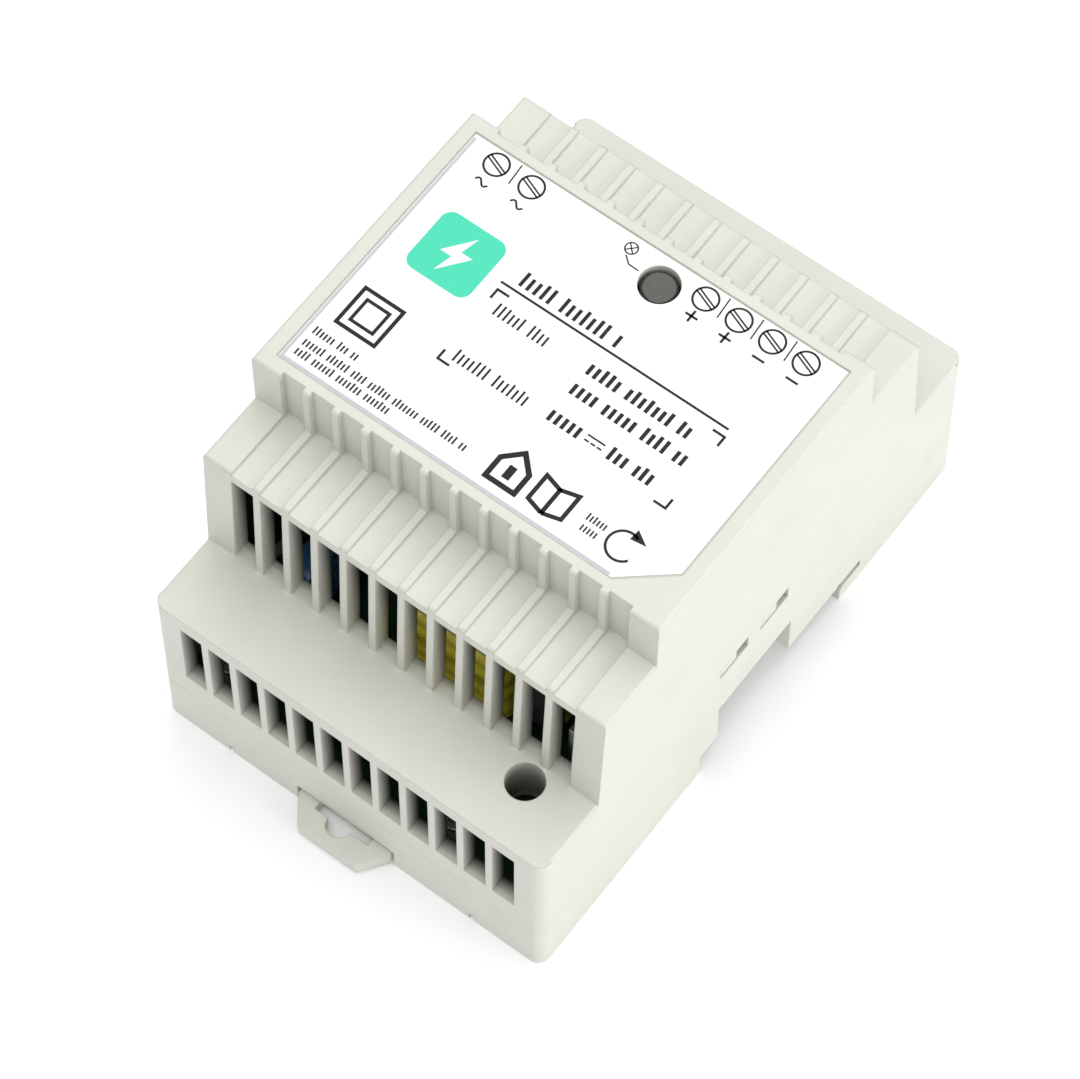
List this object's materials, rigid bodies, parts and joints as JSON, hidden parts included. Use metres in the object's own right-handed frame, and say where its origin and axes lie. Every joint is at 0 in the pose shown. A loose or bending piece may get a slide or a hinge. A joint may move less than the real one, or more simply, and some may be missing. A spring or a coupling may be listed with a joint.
{
  "type": "din rail power supply",
  "caption": "Stepped, vented modular power supply that clips onto a top hat rail, with screw terminals behind a light grey cover and a sprung release foot.",
  "frame": {"origin": "centre of the rail seat, on the plane that the rail's flanges bear on", "axes": "+X along the rail, +Y up the wall towards the terminals and away from the release foot, +Z away from the wall, out of the front face"},
  "size_m": [0.0624, 0.0972, 0.06],
  "materials": {
    "housing_plastic": "light grey, fine satin moulding",
    "label_film": "white film with grey edge",
    "spring_steel": "drawn wire",
    "board_laminate": "green solder mask",
    "zinc_steel": "zinc plated",
    "insulating_film": "pale fibre sheet",
    "terminal_plastic": "green moulding",
    "tinned_brass": "tinned",
    "white_plastic": "white moulding",
    "clear_resin": "diffused clear resin",
    "dark_plastic": "black moulding",
    "coated_ceramic": "dark green coating",
    "blue_ceramic": "blue dipped coating",
    "film_capacitor": "yellow box",
    "ferrite": "dark grey sintered",
    "enamelled_wire": "enamelled copper",
    "capacitor_sleeve": "dark sleeve with aluminium top",
    "yellow_tape": "yellow polyester tape",
    "aluminium_sheet": "bare sheet",
    "resistor_lacquer": "beige lacquer"
  },
  "bodies": {
    "housing": {"top_housing": "housing_plastic", "base_housing": "housing_plastic", "front_label": "label_film", "foot_spring": "spring_steel", "main_pcb": "board_laminate", "pcb_screws": "zinc_steel", "insulation_sheet": "insulating_film", "input_terminal_block": "terminal_plastic", "output_terminal_block": "terminal_plastic", "terminal_contacts": "tinned_brass", "trimmer_body": "dark_plastic", "status_led": "clear_resin", "led_spacer": "white_plastic", "input_fuse": "dark_plastic", "inrush_thermistor": "coated_ceramic", "surge_varistor": "blue_ceramic", "x_capacitor": "film_capacitor", "choke_core": "ferrite", "choke_windings": "enamelled_wire", "bridge_rectifier": "dark_plastic", "bulk_capacitor": "capacitor_sleeve", "y_capacitor": "blue_ceramic", "transformer_core": "ferrite", "transformer_bobbin": "dark_plastic", "transformer_winding": "yellow_tape", "transformer_band": "yellow_tape", "switch_transistor": "dark_plastic", "primary_heatsink": "aluminium_sheet", "output_diode": "dark_plastic", "output_heatsink": "aluminium_sheet", "heatsink_screws": "zinc_steel", "pwm_controller": "dark_plastic", "optocoupler": "dark_plastic", "output_capacitors": "capacitor_sleeve", "output_choke": "enamelled_wire", "power_resistors": "resistor_lacquer"},
    "foot": {"rail_foot": "housing_plastic"},
    "trimmer": {"trimmer_rotor": "white_plastic"},
    "screw_input_1": {"input_screw_1": "zinc_steel"},
    "cage_input_1": {"input_cage_1": "zinc_steel"},
    "screw_input_2": {"input_screw_2": "zinc_steel"},
    "cage_input_2": {"input_cage_2": "zinc_steel"},
    "screw_output_1": {"output_screw_1": "zinc_steel"},
    "cage_output_1": {"output_cage_1": "zinc_steel"},
    "screw_output_2": {"output_screw_2": "zinc_steel"},
    "cage_output_2": {"output_cage_2": "zinc_steel"},
    "screw_output_3": {"output_screw_3": "zinc_steel"},
    "cage_output_3": {"output_cage_3": "zinc_steel"},
    "screw_output_4": {"output_screw_4": "zinc_steel"},
    "cage_output_4": {"output_cage_4": "zinc_steel"}
  },
  "joints": [
    {"name": "foot_slide", "type": "slide", "parent": "housing", "child": "foot", "axis": [0, -1, 0], "range_m": [0, 0.0042], "stiffness_N_per_m": 400, "springref_m": -0.004, "deforming": ["foot_spring"]},
    {"name": "trimmer_turn", "type": "hinge", "parent": "housing", "child": "trimmer", "pos_m": [0.022, -0.0433, 0.0121], "axis": [0, 0, 1], "range_deg": [-130, 130]},
    {"name": "input_screw_1_turn", "type": "hinge", "parent": "housing", "child": "screw_input_1", "pos_m": [-0.02404, 0.033, 0.0186], "axis": [0, 0, -1], "range_deg": [0, 1800]},
    {"name": "input_cage_1_rise", "type": "slide", "parent": "housing", "child": "cage_input_1", "axis": [0, 0, 1], "range_m": [0, 0.0025]},
    {"name": "input_screw_2_turn", "type": "hinge", "parent": "housing", "child": "screw_input_2", "pos_m": [-0.01896, 0.033, 0.0186], "axis": [0, 0, -1], "range_deg": [0, 1800]},
    {"name": "input_cage_2_rise", "type": "slide", "parent": "housing", "child": "cage_input_2", "axis": [0, 0, 1], "range_m": [0, 0.0025]},
    {"name": "output_screw_1_turn", "type": "hinge", "parent": "housing", "child": "screw_output_1", "pos_m": [0.00888, 0.033, 0.0186], "axis": [0, 0, -1], "range_deg": [0, 1800]},
    {"name": "output_cage_1_rise", "type": "slide", "parent": "housing", "child": "cage_output_1", "axis": [0, 0, 1], "range_m": [0, 0.0025]},
    {"name": "output_screw_2_turn", "type": "hinge", "parent": "housing", "child": "screw_output_2", "pos_m": [0.01396, 0.033, 0.0186], "axis": [0, 0, -1], "range_deg": [0, 1800]},
    {"name": "output_cage_2_rise", "type": "slide", "parent": "housing", "child": "cage_output_2", "axis": [0, 0, 1], "range_m": [0, 0.0025]},
    {"name": "output_screw_3_turn", "type": "hinge", "parent": "housing", "child": "screw_output_3", "pos_m": [0.01904, 0.033, 0.0186], "axis": [0, 0, -1], "range_deg": [0, 1800]},
    {"name": "output_cage_3_rise", "type": "slide", "parent": "housing", "child": "cage_output_3", "axis": [0, 0, 1], "range_m": [0, 0.0025]},
    {"name": "output_screw_4_turn", "type": "hinge", "parent": "housing", "child": "screw_output_4", "pos_m": [0.02412, 0.033, 0.0186], "axis": [0, 0, -1], "range_deg": [0, 1800]},
    {"name": "output_cage_4_rise", "type": "slide", "parent": "housing", "child": "cage_output_4", "axis": [0, 0, 1], "range_m": [0, 0.0025]}
  ],
  "couplings": [
    {"joint": "input_screw_1_turn", "follows": "input_cage_1_rise", "rad_per_m": 12566},
    {"joint": "input_screw_2_turn", "follows": "input_cage_2_rise", "rad_per_m": 12566},
    {"joint": "output_screw_1_turn", "follows": "output_cage_1_rise", "rad_per_m": 12566},
    {"joint": "output_screw_2_turn", "follows": "output_cage_2_rise", "rad_per_m": 12566},
    {"joint": "output_screw_3_turn", "follows": "output_cage_3_rise", "rad_per_m": 12566},
    {"joint": "output_screw_4_turn", "follows": "output_cage_4_rise", "rad_per_m": 12566}
  ]
}
